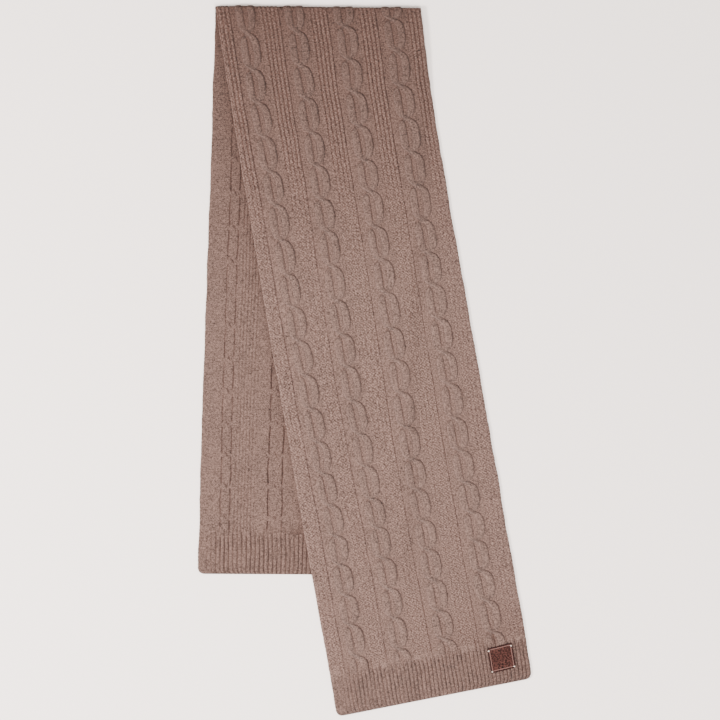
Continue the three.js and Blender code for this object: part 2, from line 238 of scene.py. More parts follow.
def mossColumns(fromLine, down, seed):
    # columns two stitches wide, counted from a line that they run along; their beads are in the material, and the lines
    # between columns get painted shade
    inColumn = fromLine / moss["column"] - np.floor(fromLine / moss["column"])
    across = 1 - np.abs(2 * inColumn - 1) ** 2.2
    lined = 0.25 + 0.75 * (1 - ease(down, 90, 330))
    bead = np.cos(2 * np.pi * fromLine / moss["column"]) * np.cos(np.pi * rowsAt(down))
    vary = 1 + 0.35 * softNoise(fromLine, down, 5.3, 5.1, seed + 1)
    rise = moss["rise"] * (lined * (across - 0.5) + 0.16 * bead * vary)
    rough = 0.85 + 0.3 * softNoise(fromLine, down, 4, 6, seed + 2)
    # painted shade along the lines between the columns
    dark = moss["lineDark"] * lined * (1 - across) ** 1.6 * rough
    return rise, dark


def rightSide(down, across):
    width = cloth["width"]
    rise, dark, kind = np.zeros_like(down), np.zeros_like(down), np.ones_like(down)
    wale = across / stitch["wale"]
    lefts = smoothReading(cablePath, down)
    base = crossingDowns(frontCrossings)
    rng = np.random.default_rng(7)
    edges = []
    for number, (name, size, firstShift, grooveShare) in enumerate(zip(*cables.values())):
        fade = np.clip(1 - np.arange(len(base)) / 4, 0, 1)
        spots = base + firstShift * fade + rng.normal(0, 1.1, len(base))
        left = lefts[name] + 0.5 * softNoise(down, down * 0, 31, 1, 20 + number)
        phase, index = phaseBetween(spots, down)
        share = (across - left) / size + 0.012 * softNoise(down, down * 0, 23, 1, 30 + number)
        strands = smoothReading(strandPath, phase)
        further = smoothReading(strandPath, phase + 0.01)
        over, overAt = strandBump(share, strands["overLeft"], strands["overRight"])
        under, underAt = strandBump(share, strands["underLeft"], strands["underRight"])
        closeness = line(phase - 0.03, 0.12)
        over = over * (1 + cable["overRise"] * closeness)
        under = under * (1 - cable["underSink"] * closeness)
        bridge = ease(share, 0.28, 0.4) * (1 - ease(share, 0.75, 0.86))
        neck = line(share - 0.57, 0.1) * line(phase + 0.01, 0.085)
        onCable = (share > 0) & (share < 1.0)
        raised = np.maximum(np.maximum(over, under), np.maximum(cable["channel"] * bridge, neck))
        rise = np.where(onCable, cable["rise"] * raised, rise)
        ground = 1 - np.clip(np.maximum(over, under) * 1.4, 0, 1)
        kind = np.where(onCable, ground, kind)
        # painted shade on the ground between the strands
        dark = dark + np.where(onCable, cable["groundDark"] * ground, 0)
        onStrand = onCable & (np.maximum(over, under) > 0.02)
        strandAt = np.where(over >= under, overAt, underAt + 7)
        wale = np.where(onStrand, strandAt * 2.1 + 3, wale)
        fromEdge, slope = {}, {}
        for key in ("overRight", "underRight", "underLeft", "inner"):
            slope[key] = (further[key] - strands[key]) / 0.01 * size / frontCrossings["upper"]
            fromEdge[key] = (share - strands[key]) * size / np.hypot(1, slope[key])
        # painted shade along the strands' edges, the inner tuck and the groove, varied by a noise; the same lines also
        # sink the surface a little
        wearAndShadeNoise = 0.8 + 0.35 * softNoise(down, across * 0 + number, 19, 1, 33)
        sideLine = line(fromEdge["overRight"] - 0.2, cable["sideHalf"]) * ease(phase, -0.02, 0.05)
        sideLine += line(fromEdge["underRight"] - 0.2, cable["sideHalf"]) * (1 - ease(phase, -0.4, -0.14)) * (phase < 0)
        middleLine = line(fromEdge["inner"], cable["middleHalf"]) * (ease(phase, 0.03, 0.09) + 1 - ease(phase, -0.2, -0.1))
        tuckLine = line((share - 0.66) * size, cable["middleHalf"]) * (ease(phase, 0.16, 0.3) + (phase < 0) * (1 - ease(phase, -0.3, -0.12)))
        topLine = line(fromEdge["underLeft"], cable["middleHalf"]) * ease(phase, 0.01, 0.05) * (1 - ease(phase, 0.12, 0.2))
        groove = line(across - left, cable["grooveHalf"]) * (0.85 + 0.3 * softNoise(down, down * 0, 5, 1, 36 + number)) * grooveShare
        dark = dark + cable["grooveDark"] * groove + cable["sideDark"] * wearAndShadeNoise * sideLine
        dark = dark + cable["middleDark"] * wearAndShadeNoise * (middleLine + 0.3 * tuckLine) + cable["topDark"] * topLine
        rise = rise - cable["grooveDepth"] * groove - cable["seamDepth"] * (sideLine + 0.7 * middleLine)
        edges.append((left, left + size))
    # moss between the cables, lined up with the groove on its right; on the last band with the cable on its left;
    # painted shade on its lines and on the plain strip beside each cable
    plain = moss["plainNearFold"] + (moss["plainNearHem"] - moss["plainNearFold"]) * ease(down, 200, 480)
    bounds = [(None, edges[0][0])] + [(edges[i][1], edges[i + 1][0]) for i in range(3)] + [(edges[3][1], None)]
    for number, (start, end) in enumerate(bounds):
        inside, room = np.ones_like(down, bool), np.ones_like(down)
        if start is not None:
            inside &= across > start
            room = ease(across - start - plain, -2, 1.5)
        if end is not None:
            inside &= across < end
        fromLine = (end - across) if end is not None else (across - start - plain)
        columnRise, columnDark = mossColumns(fromLine, down, 60 + 5 * number)
        inward = ease(np.minimum(across, width - across), 0.5, 4)
        rise = np.where(inside, rise + columnRise * room * (0.4 + 0.6 * inward), rise)
        dark = np.where(inside, dark + columnDark * room * inward + cable["groundDark"] * (1 - room), dark)
        kind = np.where(inside, 1 + room * (0.65 + 0.35 * ease(down, 90, 330)), kind)
        wale = np.where(inside, fromLine * 2 / moss["column"], wale)
    dark = dark + cornerShade["amount"] * ease(down, cornerShade["from"], cornerShade["to"]) * ease(across, 60, 260)
    dark = dark + foldShade["amount"] * np.clip(1 - down / foldShade["reach"], 0, 1) + foldShade["edge"] * np.exp(-down / foldShade["edgeReach"])
    return {"rise": rise, "dark": dark, "kind": kind, "wale": wale}


# ---- wrong side: the backs of the cables as pairs of sunk lines, broken at each crossing ----
# lineDark and foldDark are painted shade: in the sunk lines and towards the fold
wrong = {"lineHalf": 0.85, "lineDepth": 0.9, "lineDark": 1.0, "foldDark": 0.48, "columnsFrom": 45.0, "columnsTo": 80.0, "column": 4.6}
backPairs = {"middle": [36.2, 106.9, 174.6, 242.3], "apart": [14.2, 21.0, 18.0, 18.0], "strength": [0.8, 1.1, 1, 1]}
backCrossings = {"first": 24.2, "count": 16, "upper": 48.4, "nearHem": 44.3, "tightensFrom": 4, "tightensTo": 14}


def wrongSide(down, across):
    rise = 0.12 * softNoise(across, down, 2.6, 2.7, 90)
    dark = np.zeros_like(down)
    spots = crossingDowns(backCrossings)
    for number, (middle, apart, strength) in enumerate(zip(*backPairs.values())):
        jitter = np.random.default_rng(110 + number).normal(0, 0.9, len(spots))
        phase, index = phaseBetween(spots + jitter, down)
        drift = 0.8 * softNoise(down, down * 0, 60, 1, 120 + number)
        broken = ease(np.abs(phase), 0.04, 0.1)
        for side in (-1, 1):
            bow = 0.8 * side * np.cos(np.pi * phase) ** 2
            at = across - middle - drift - side * apart / 2 + bow
            rough = 1 + 0.3 * softNoise(down, down * 0, 7, 1, 130 + 2 * number + side)
            mark = line(at, wrong["lineHalf"]) * broken * strength * rough
            rise = rise - wrong["lineDepth"] * mark
            # painted shade in the sunk line
            dark = dark + wrong["lineDark"] * mark
        along = (phase + 0.03) * 47
        tick = line(across - middle - drift - 0.3 - 0.55 * along, 0.9) * line(along, 3.2)
        puff = line(phase, 0.1) * line(across - middle, apart / 2)
        rise = rise + 0.5 * puff - 0.8 * tick
        # painted shade in the tick at each crossing
        dark = dark + 0.85 * tick
    band = ease(across, wrong["columnsFrom"], wrong["columnsFrom"] + 5) * (1 - ease(across, wrong["columnsTo"] - 4, wrong["columnsTo"]))
    inColumn = (across + 0.9 * softNoise(down, down * 0, 80, 1, 141)) / wrong["column"]
    inColumn = np.abs(2 * (inColumn - np.floor(inColumn)) - 1)
    # painted shade, darker towards the fold
    dark = dark + wrong["foldDark"] * np.clip(1 - down / 440, 0, 1)
    lined = band * inColumn**2.6 * (0.75 + 0.25 * softNoise(across, down, 5, 6, 142))
    # painted shade in the lines between the columns, their band a little lighter overall
    dark = dark + 0.95 * lined - 0.15 * band
    rise = rise - 0.35 * lined
    return {"rise": rise, "dark": dark, "kind": np.ones_like(down), "wale": across / stitch["wale"]}


# ---- ribbed hems ----
rib = {"frontCount": 51, "backCount": 46, "depth": 1.1, "top": 3.0, "dark": 1.15, "plainCorner": 34.0}


def ribbed(look, down, across, end, count, seed, tone):
    # ribs fade in from each column of the pattern, and are faint at the left corner
    start = end - cloth["hem"]
    lane = across / cloth["width"] * count
    whole = np.round(lane)
    reach = 11 * np.abs(np.random.default_rng(seed).normal(0, 1, count + 2))[np.clip(whole, 0, count).astype(int)]
    fadeIn = ease(down, start - 3 - reach, start + 7)
    sway = 0.16 * softNoise(across, down, 26, 34, seed + 1) + 0.06 * softNoise(across, down, 7, 12, seed + 2)
    part = np.abs(2 * (lane + sway - np.floor(lane + sway)) - 1)
    rounding = 1 - part**2.6
    faint = 0.35 + 0.65 * ease(across, rib["plainCorner"] * 0.3, rib["plainCorner"])
    vary = faint * (1 + 0.4 * softNoise(across, down, 6, 15, seed + 3))
    ribRise = rib["top"] - cloth["wall"] - rib["depth"] * (1 - rounding) * vary
    # painted shade in the troughs between the ribs, and over the whole hem, stronger towards its right end
    ribDark = rib["dark"] * part**5 * vary + tone["dark"] * (0.7 + 0.7 * ease(across, 120, cloth["width"]))
    gone = 1 - ease(down, start - 12, start + 4)
    look["rise"] = look["rise"] * gone + ribRise * fadeIn
    look["dark"] = look["dark"] * gone + ribDark * fadeIn
    look["kind"] = look["kind"] * gone + tone["kind"] * (1 - gone)
    return look


def thickness(look, down, across, end):
    # rounded along both edges and at the hem
    inward = np.clip(np.minimum(across, cloth["width"] - across) / cloth["edgeRound"], 0, 1)
    upward = np.clip((end - down) / 3.4, 0, 1)
    left = cloth["edgeShare"]
    side = left + (1 - left) * np.sqrt(1 - (1 - inward) ** 2.2)
    hem = left + (1 - left) * np.sqrt(1 - (1 - upward) ** 2.2)
    bulge = look["rise"] * inward
    return (cloth["wall"] + bulge) * side * hem


def lieOn(path, down, across, end, seed):
    # plan position: the edges waver a little and the hem's corners are rounded
    width = cloth["width"]
    toEnd = np.clip(cloth["cornerRound"] - (end - down), 0, cloth["cornerRound"])
    tuck = cloth["cornerRound"] - np.sqrt(cloth["cornerRound"] ** 2 - toEnd**2)
    placed = tuck + across * (width - 2 * tuck) / width
    for edge, side in ((0, -1), (width, 1)):
        near = np.exp(-np.abs(across - edge) / 9)
        placed = placed + near * side * (
            0.55 * softNoise(down, down * 0 + side, 37, 1, seed)
            + 0.3 * softNoise(down, down * 0 + side, 9, 1, seed + 1)
            + 0.16 * np.cos(2 * np.pi * down / stitch["row"] / 2)
        )
    edges = smoothReading(path, np.minimum(down, end))
    share = placed / width
    x = edges["leftX"] + (edges["rightX"] - edges["leftX"]) * share + shift[0]
    y = edges["leftY"] + (edges["rightY"] - edges["leftY"]) * share + shift[1]
    return x, y


def frontSheet(down, across):
    # the front hem gets painted shade over all of it
    look = ribbed(rightSide(down, across), down, across, frontEnd, rib["frontCount"], 150, {"dark": 0.26, "kind": 0.2})
    x, y = lieOn(frontPath, down, across, frontEnd, 170)
    low = carriedHeight(x - shift[0], y - shift[1])
    drift = 0.35 * (1 + softNoise(across, down, 90, 130, 180)) * ease(np.minimum(across, cloth["width"] - across), 0, 30)
    return np.stack([x, y, low + thickness(look, down, across, frontEnd) + drift], -1), look


def backSheet(down, across):
    look = ribbed(wrongSide(down, across), down, across, backEnd, rib["backCount"], 190, {"dark": 0.0, "kind": 0.7})
    x, y = lieOn(backPath, down, across, backEnd, 210)
    # darker along the edge of the stretch that lies over it
    overEdge = np.interp(-y, -frontEdge["leftY"] - shift[1], frontEdge["leftX"]) + shift[0]
    look["dark"] = look["dark"] + overShade["amount"] * np.exp(-np.maximum(overEdge - x, 0) / overShade["reach"])
    return np.stack([x, y, thickness(look, down, across, backEnd)], -1), look


def gridFaces(rows, columns, first=0, flip=False):
    corner = (np.arange(rows - 1)[:, None] * columns + np.arange(columns - 1)[None, :] + first).ravel()
    order = [corner, corner + columns, corner + columns + 1, corner + 1]
    return np.stack(order[::-1] if flip else order, -1)


def meshPiece(name, points, faces, normals, uvs, attributes):
    # one mesh from points in millimetres; the normals are one for each corner of each face
    mesh = bpy.data.meshes.new(name)
    mesh.from_pydata((points * mm).tolist(), [], [face.tolist() for face in faces])
    mesh.shade_smooth()
    corner = np.empty(len(mesh.loops), np.int32)
    mesh.loops.foreach_get("vertex_index", corner)
    layer = mesh.uv_layers.new(name="knit")
    layer.data.foreach_set("uv", uvs[corner].astype(np.float32).ravel())
    for key, values in attributes.items():
        mesh.attributes.new(key, "FLOAT", "POINT").data.foreach_set("value", values.astype(np.float32))
    mesh.normals_split_custom_set(normals(mesh, corner).tolist())
    piece = bpy.data.objects.new(name, mesh)
    bpy.context.scene.collection.objects.link(piece)
    return piece


def surfaceNormals(sheet, down, across, points):
    step = 0.5
    inward = np.where(across < cloth["width"] / 2, step, -step)
    acrossWay = (sheet(down, across + inward)[0] - points) * np.sign(inward)[..., None]
    downWay = points - sheet(down - step, across)[0]
    normal = np.cross(downWay, acrossWay)
    return normal / np.linalg.norm(normal, axis=-1, keepdims=True)


def clothPiece(name, sheet, downs, stops, carried):
    # the fine upper side, a plain underside and the walls at both seams
    down, across = np.meshgrid(downs, stops, indexing="ij")
    points, look = sheet(down, across)
    normal = surfaceNormals(sheet, down, across, points)
    rows, columns = down.shape
    left, right = points[:, 0], points[:, -1]
    undercut = cloth["undercut"] / cloth["width"]
    share = np.tile([undercut, 0.25, 0.5, 0.75, 1 - undercut], (rows, 1))
    if carried:
        edgeX = np.interp(-(left[:, 1] + right[:, 1]) / 2 + shift[1], -backEdge["rightY"], backEdge["rightX"]) + shift[0]
        start = (edgeX + cloth["slopeFrom"] - left[:, 0]) / (right[:, 0] - left[:, 0])
        start = np.clip(start, 0.01, 0.97)
        span = np.clip(start + cloth["slopeLength"] / (right[:, 0] - left[:, 0]), start + 0.01, 0.99)
        share[:, 1:4] = np.stack([start, (start + span) / 2, span], -1)
    under = left[:, None] + (right - left)[:, None] * share[..., None]
    under[..., 2] = carriedHeight(under[..., 0] - shift[0], under[..., 1] - shift[1]) if carried else 0
    top = points.reshape(-1, 3)
    allPoints = np.concatenate([top, under.reshape(-1, 3)])
    edge = np.arange(rows)[:, None] * columns
    lower = np.concatenate([edge, rows * columns + np.arange(rows)[:, None] * 5 + np.arange(5)[None, :], edge + columns - 1], 1)
    lowerFaces = np.stack([lower[:-1, :-1], lower[:-1, 1:], lower[1:, 1:], lower[1:, :-1]], -1).reshape(-1, 4)
    topFaces = gridFaces(rows, columns)
    startWall = np.concatenate([np.arange(columns), lower[0, 5:0:-1]])
    endWall = np.concatenate([lower[-1, 1:6], np.arange(columns)[::-1] + (rows - 1) * columns])
    faces = [*topFaces, *lowerFaces, startWall, endWall]

    def cornerNormals(mesh, corner):
        made = np.zeros((len(corner), 3))
        upper = len(topFaces) * 4
        made[:upper] = normal.reshape(-1, 3)[corner[:upper]]
        below = upper + len(lowerFaces) * 4
        across = (right[0] - left[0]) / np.linalg.norm(right[0] - left[0])
        sideways = np.array([-across, [0, 0, -1], [0, 0, -1], [0, 0, -1], [0, 0, -1], across])
        made[upper:below] = np.tile(np.repeat(sideways, 4, 0), (rows - 1, 1))
        upTable = (left[0] - left[-1]) / np.linalg.norm(left[0] - left[-1])
        made[below : below + len(startWall)] = upTable
        made[below + len(startWall) :] = -upTable
        return made

    flat = lambda values, rest: np.concatenate([values.ravel(), np.full(under.shape[0] * 5, rest)])
    uvs = np.stack([flat(look["wale"], 0), flat(rowsAt(down), 0)], -1)
    attributes = {"paintedShade": flat(np.clip(look["dark"], -0.2, 1.3), 0), "stitchKind": flat(look["kind"], 1)}
    return meshPiece(name, allPoints, faces, cornerNormals, uvs, attributes)


pieces = {}
columnStops = np.linspace(0, cloth["width"], 401)
frontStart, frontHem = cloth["foldRun"], frontEnd - cloth["hem"]
frontStops = np.linspace(frontStart, frontHem, 4)
frontNames = ["front_upper_third", "front_middle_third", "front_lower_third"]
for name, start, end in zip(frontNames, frontStops[:-1], frontStops[1:]):
    pieces[name] = clothPiece(name, frontSheet, np.linspace(start, end, 248), columnStops, True)
    print(name, "made")
hemStops = np.linspace(0, cloth["width"], 385)
hemSteps = np.concatenate([np.linspace(0, cloth["hem"] - 3.4, 44), cloth["hem"] - 3.4 * (1 - np.array([0.3, 0.55, 0.75, 0.9, 1]))])
pieces["front_hem"] = clothPiece("front_hem", frontSheet, frontHem + hemSteps, hemStops, True)
backStart, backHem = cloth["foldRun"], backEnd - cloth["hem"]
# fine where it shows, coarser under the upper stretch
backStops = np.concatenate([np.linspace(0, 128.8, 169), np.linspace(128.8, cloth["width"], 24)[1:]])
pieces["back_cloth"] = clothPiece("back_cloth", backSheet, np.linspace(backStart, backHem, 470), backStops, False)
pieces["back_hem"] = clothPiece("back_hem", backSheet, backHem + hemSteps, hemStops, False)
print("back and hems made")


# ---- the fold ----
def foldPiece():
    turns = np.radians(np.array([90, 80, 70, 60, 50, 40, 30, 20, 10, 0, -12, -26, -42, -60, -90]))
    stops = columnStops
    tops = np.linspace(cloth["foldRun"], 0.8, 11)
    unders = np.linspace(2, cloth["foldRun"], 4)
    halfHeight = (layerLift + cloth["wall"]) / 2
    down, across = np.meshgrid(tops, stops, indexing="ij")
    topPoints, topLook = frontSheet(down, across)
    zero, acrossZero = np.meshgrid([0.0], stops, indexing="ij")
    linePoints, lineLook = frontSheet(zero, acrossZero)
    relief = linePoints[0, :, 2] - layerLift - cloth["wall"]
    arcs = []
    for turn in turns:
        fade = float(ease(math.degrees(turn), -75, 10))
        arc = linePoints[0].copy()
        arc[:, 1] += (cloth["bend"] + relief * fade) * math.cos(turn) - cloth["bend"]
        arc[:, 2] = halfHeight + (halfHeight + relief * fade) * math.sin(turn)
        arcs.append(arc)
    down2, across2 = np.meshgrid(unders, stops, indexing="ij")
    x, y = lieOn(backPath, down2, across2, backEnd, 210)
    lowPoints = np.stack([x, y, np.zeros_like(x)], -1)
    points = np.concatenate([topPoints, np.array(arcs), lowPoints])
    rows, columns = points.shape[:2]
    # distance along the outside, for the stitches to run over the bend
    run = np.concatenate([tops, -np.cumsum(np.full(len(turns), 0.75)), -12 - unders])
    acrossAll = np.broadcast_to(stops, (rows, columns))
    ways = np.gradient(points, axis=0), np.gradient(points, axis=1)
    normal = np.cross(ways[1], ways[0])
    normal /= np.maximum(np.linalg.norm(normal, axis=-1, keepdims=True), 1e-9)
    seam = surfaceNormals(frontSheet, down[:1], across[:1], topPoints[:1])
    normal[0] = seam[0]

    def innerLine(path, at, back, z):
        x, y = lieOn(path, np.full(2, at), np.array([0.0, cloth["width"]]), 5000, 210)
        return np.stack([x, y - back, np.full(2, z)], -1)

    bend = cloth["bend"]
    inner = np.array([
        innerLine(frontPath, cloth["foldRun"], 0, layerLift),
        innerLine(frontPath, 0, bend + 0.4, layerLift),
        innerLine(frontPath, 0, bend - 0.4, halfHeight),
        innerLine(frontPath, 0, bend + 0.4, cloth["wall"]),
        innerLine(backPath, cloth["foldRun"], 0, cloth["wall"]),
    ])
    allPoints = np.concatenate([points.reshape(-1, 3), inner.reshape(-1, 3)])
    first = rows * columns
    innerAt = first + np.arange(5)[:, None] * 2 + np.arange(2)[None, :]
    outerFaces = gridFaces(rows, columns, flip=True)
    innerFaces = np.stack([innerAt[:-1, 0], innerAt[1:, 0], innerAt[1:, 1], innerAt[:-1, 1]], -1)
    topWall = np.concatenate([np.arange(columns)[::-1], innerAt[0]])
    lowWall = np.concatenate([(rows - 1) * columns + np.arange(columns), innerAt[-1][::-1]])
    leftWall = np.concatenate([np.arange(rows) * columns, innerAt[::-1, 0]])
    rightWall = np.concatenate([(np.arange(rows) * columns + columns - 1)[::-1], innerAt[:, 1]])
    faces = [*outerFaces, *innerFaces[:, ::-1], topWall, lowWall, leftWall, rightWall]

    def cornerNormals(mesh, corner):
        made = np.zeros((len(corner), 3))
        upper = len(outerFaces) * 4
        made[:upper] = normal.reshape(-1, 3)[corner[:upper]]
        start = upper
        for polygon in list(mesh.polygons)[len(outerFaces):]:
            made[start : start + polygon.loop_total] = polygon.normal
            start += polygon.loop_total
        return made

    # painted shade where the cloth turns down over the fold, and on the rows beneath it
    turned = np.array([0.35 * float(1 - ease(turn, 0.2, 1.2)) for turn in turns])[:, None]
    darkRows = np.concatenate([topLook["dark"], np.repeat(lineLook["dark"], len(turns), 0) + turned, np.full((len(unders), columns), 0.5)])
    kindRows = np.concatenate([topLook["kind"], np.repeat(lineLook["kind"], len(turns), 0), np.ones((len(unders), columns))])
    waleRows = np.concatenate([topLook["wale"], np.repeat(lineLook["wale"], len(turns), 0), across2 / stitch["wale"]])
    runRows = np.broadcast_to(run[:, None], (rows, columns))
    flat = lambda values: np.concatenate([values.ravel(), np.zeros(10)])
    uvs = np.stack([flat(waleRows), flat(rowsAt(runRows))], -1)
    attributes = {"paintedShade": flat(np.clip(darkRows, 0, 1.3)), "stitchKind": flat(kindRows)}
    return meshPiece("fold_cloth", allPoints, faces, cornerNormals, uvs, attributes)


pieces["fold_cloth"] = foldPiece()
print("fold made")


# ---- materials ----
def newGroup(name, inputs, outputs):
    group = bpy.data.node_groups.new(name, "ShaderNodeTree")
    for label, kind, value in inputs:
        socket = group.interface.new_socket(label, in_out="INPUT", socket_type=kind)
        if value is not None:
            socket.default_value = value
    for label, kind in outputs:
        group.interface.new_socket(label, in_out="OUTPUT", socket_type=kind)
    return group, group.nodes.new("NodeGroupInput"), group.nodes.new("NodeGroupOutput")


def put(tree, kind, inputs=None, **settings):
    node = tree.nodes.new(kind)
    for key, value in settings.items():
        setattr(node, key, value)
    for key, value in (inputs or {}).items():
        socket = node.inputs[key]
        if isinstance(value, bpy.types.NodeSocket):
            tree.links.new(value, socket)
        else:
            socket.default_value = value
    return node


def sums(tree, operation, *values):
    return put(tree, "ShaderNodeMath", dict(enumerate(values)), operation=operation).outputs[0]


def mixed(tree, factor, first, second, blend="MIX"):
    node = put(tree, "ShaderNodeMix", data_type="RGBA", blend_type=blend)
    for socket, value in ((node.inputs["Factor"], factor), (node.inputs[6], first), (node.inputs[7], second)):
        if isinstance(value, bpy.types.NodeSocket):
            tree.links.new(value, socket)
        else:
            socket.default_value = value
    return node.outputs[2]


def between(tree, value, low, high, toLow=0.0, toHigh=1.0):
    node = put(tree, "ShaderNodeMapRange", {"Value": value, "From Min": low, "From Max": high, "To Min": toLow, "To Max": toHigh})
    return node.outputs[0]


def stitchGroup():
    # one stitch to each unit of the knit UV map; Kind is 0 for the V of knit, 1 for the ridges of purl, 2 for moss beads
    group, source, sink = newGroup(
        "knitStitches",
        [("Kind", "NodeSocketFloat", 0.0)],
        [("Height", "NodeSocketFloat"), ("GapShade", "NodeSocketFloat"), ("Uneven", "NodeSocketFloat")],
    )
    uv = put(group, "ShaderNodeUVMap", uv_map="knit").outputs[0]
    wander = put(group, "ShaderNodeTexNoise", {"Vector": uv, "Scale": 0.4, "Detail": 2.0}, noise_dimensions="2D").outputs["Color"]
    offset = put(group, "ShaderNodeVectorMath", {0: wander, 1: (0.5, 0.5, 0.5)}, operation="SUBTRACT").outputs[0]
    offset = put(group, "ShaderNodeVectorMath", {0: offset, "Scale": 0.9}, operation="SCALE").outputs[0]
    moved = put(group, "ShaderNodeVectorMath", {0: uv, 1: offset}, operation="ADD").outputs[0]
    apart = put(group, "ShaderNodeSeparateXYZ", {0: moved}).outputs
    side = sums(group, "ABSOLUTE", sums(group, "SUBTRACT", sums(group, "FRACT", apart[0]), 0.5))
    leg = sums(group, "SUBTRACT", 1.0, sums(group, "POWER", sums(group, "ABSOLUTE", sums(group, "MULTIPLY_ADD", side, 4.0, -1.0)), 2.0))
    step = sums(group, "FRACT", sums(group, "MULTIPLY_ADD", side, 1.3, apart[1]))
    step = sums(group, "SUBTRACT", 1.0, sums(group, "POWER", sums(group, "ABSOLUTE", sums(group, "MULTIPLY_ADD", step, 2.0, -1.0)), 3.0))
    knit = sums(group, "MULTIPLY", leg, sums(group, "MULTIPLY_ADD", step, 0.65, 0.35))
    wave = sums(group, "MULTIPLY", sums(group, "COSINE", sums(group, "MULTIPLY", apart[0], 2 * math.pi)), 1.5)
    ridge = sums(group, "COSINE", sums(group, "MULTIPLY_ADD", apart[1], 2 * math.pi, wave))
    purl = sums(group, "MULTIPLY_ADD", ridge, 0.22, 0.7)
    # moss beads sit on every second stitch of each row, each a little off its place
    slantA = sums(group, "MULTIPLY", sums(group, "ADD", apart[0], apart[1]), 0.62)
    slantB = sums(group, "MULTIPLY", sums(group, "SUBTRACT", apart[0], apart[1]), 0.62)
    slants = put(group, "ShaderNodeCombineXYZ", {0: slantA, 1: slantB}).outputs[0]
    beads = put(group, "ShaderNodeTexVoronoi", {"Vector": slants, "Scale": 1.0, "Randomness": 0.5}, voronoi_dimensions="2D").outputs["Distance"]
    bead = between(group, beads, 0.08, 0.62, 1.0, 0.0)
    toPurl = between(group, source.outputs["Kind"], 0.0, 1.0)
    toMoss = between(group, source.outputs["Kind"], 1.0, 2.0)
    height = put(group, "ShaderNodeMix", {"Factor": toPurl, 2: knit, 3: purl}, data_type="FLOAT").outputs[0]
    height = put(group, "ShaderNodeMix", {"Factor": toMoss, 2: height, 3: bead}, data_type="FLOAT").outputs[0]
    group.links.new(height, sink.inputs["Height"])
    # painted shade between the yarn's legs, darkest where the stitch lies lowest
    legShade = sums(group, "POWER", sums(group, "SUBTRACT", 1.0, height), 1.5)
    legShade = sums(group, "MULTIPLY", legShade, between(group, source.outputs["Kind"], 1.0, 2.0, 0.75, 0.72))
    group.links.new(legShade, sink.inputs["GapShade"])
    uneven = put(group, "ShaderNodeTexNoise", {"Vector": uv, "Scale": 1.3, "Detail": 1.5, "Roughness": 0.6}, noise_dimensions="2D").outputs[0]
    group.links.new(uneven, sink.inputs["Uneven"])
    return group


def heatherGroup():
    # soft marl of the spun yarn, from single fibres up to faint patches
    group, source, sink = newGroup(
        "yarnHeather",
        [("Colour", "NodeSocketColor", (0.5, 0.5, 0.5, 1)), ("Contrast", "NodeSocketFloat", 1.0), ("Uneven", "NodeSocketFloat", 0.5)],
        [("Colour", "NodeSocketColor"), ("Fibre", "NodeSocketFloat")],
    )
    place = put(group, "ShaderNodeTexCoord").outputs["Object"]
    fine = put(group, "ShaderNodeTexNoise", {"Vector": place, "Scale": 520.0, "Detail": 0.5, "Roughness": 0.6}).outputs[0]
    speck = put(group, "ShaderNodeTexNoise", {"Vector": place, "Scale": 330.0, "Detail": 2.0, "Roughness": 0.6}).outputs[0]
    cloud = put(group, "ShaderNodeTexNoise", {"Vector": place, "Scale": 24.0, "Detail": 3.0}).outputs[0]
    marl = sums(group, "ADD", sums(group, "MULTIPLY_ADD", fine, 2.3, -1.15), sums(group, "MULTIPLY_ADD", speck, 0.3, -0.15))
    marl = sums(group, "ADD", marl, sums(group, "MULTIPLY_ADD", source.outputs["Uneven"], 0.9, -0.45))
    marl = sums(group, "ADD", marl, sums(group, "MULTIPLY_ADD", cloud, 0.06, -0.03))
    marl = sums(group, "MULTIPLY_ADD", sums(group, "MULTIPLY", marl, source.outputs["Contrast"]), 1.0, 1.0)
    grey = put(group, "ShaderNodeCombineColor", {0: marl, 1: marl, 2: marl}).outputs[0]
    toned = mixed(group, 1.0, source.outputs["Colour"], grey, "MULTIPLY")
    warm = between(group, cloud, 0.38, 0.62, 0.0, 0.05)
    toned = mixed(group, warm, toned, (0.24, 0.133, 0.105, 1), "MIX")
    group.links.new(toned, sink.inputs["Colour"])
    group.links.new(fine, sink.inputs["Fibre"])
    return group


knitStitches = stitchGroup()
yarnHeather = heatherGroup()


def shaderMaterial(name, **settings):
    material = bpy.data.materials.new(name)
    material.use_nodes = True
    tree = material.node_tree
    shader = tree.nodes["Principled BSDF"]
    for key, value in settings.items():
        shader.inputs[key].default_value = value
    return material, tree, shader


knitLook = {
    "colour": (0.1345, 0.0838, 0.069, 1),
    "wrongColour": (0.0995, 0.0606, 0.0495, 1),
    "shade": (0.34, 0.28, 0.265, 1),  # painted shade: what the yarn's colour falls to, as a share, deep between strands, in grooves and towards the fold
    # how strongly the painted shade between stitch legs and along the cloth's lines, grooves and fold darkens the yarn
    "stitchGapShade": 0.85,
    "paintedShadeStrength": 0.92,
    "contrast": 0.9,
    "stitchHeight": 0.8 * mm,
    "fibreHeight": 0.25 * mm,
}


